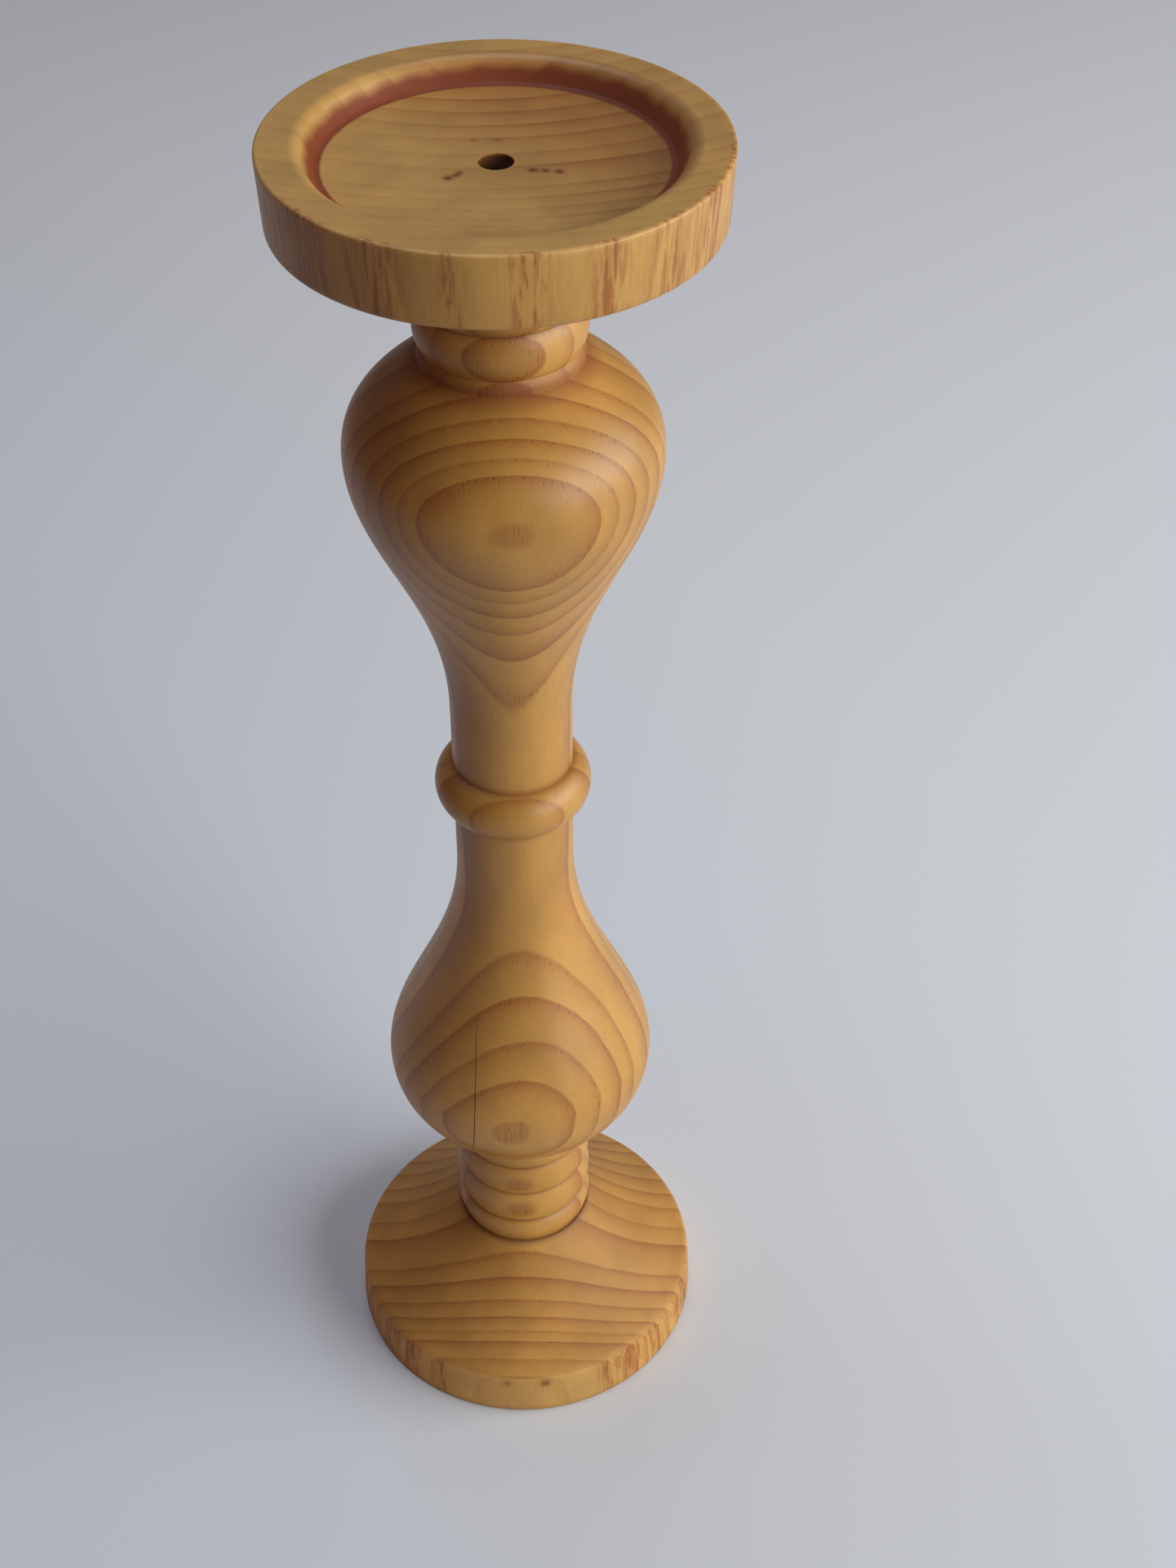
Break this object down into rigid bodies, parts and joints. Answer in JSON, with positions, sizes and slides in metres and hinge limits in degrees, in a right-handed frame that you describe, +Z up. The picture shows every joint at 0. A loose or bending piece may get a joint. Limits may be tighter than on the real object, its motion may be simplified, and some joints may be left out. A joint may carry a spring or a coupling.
{
  "type": "turned candle holder",
  "caption": "Tall turned wooden candle holder with a recessed dish for a pillar candle, a bulbous baluster stem and a round base.",
  "frame": {"origin": "middle of the base's underside, on the axis of turning", "axes": "+Z up along the axis of turning, from the base to the dish; the grain of all three wooden pieces runs along Z too, and -Y faces the camera of the picture"},
  "size_m": [0.1066, 0.1066, 0.4],
  "materials": {
    "stained_ash": "amber stained ash, satin lacquer",
    "screw_steel": "plain steel wood screw"
  },
  "bodies": {
    "root": {"base": "stained_ash", "stem": "stained_ash", "dish": "stained_ash", "dish_screw": "screw_steel", "base_screw": "screw_steel"}
  },
  "joints": []
}
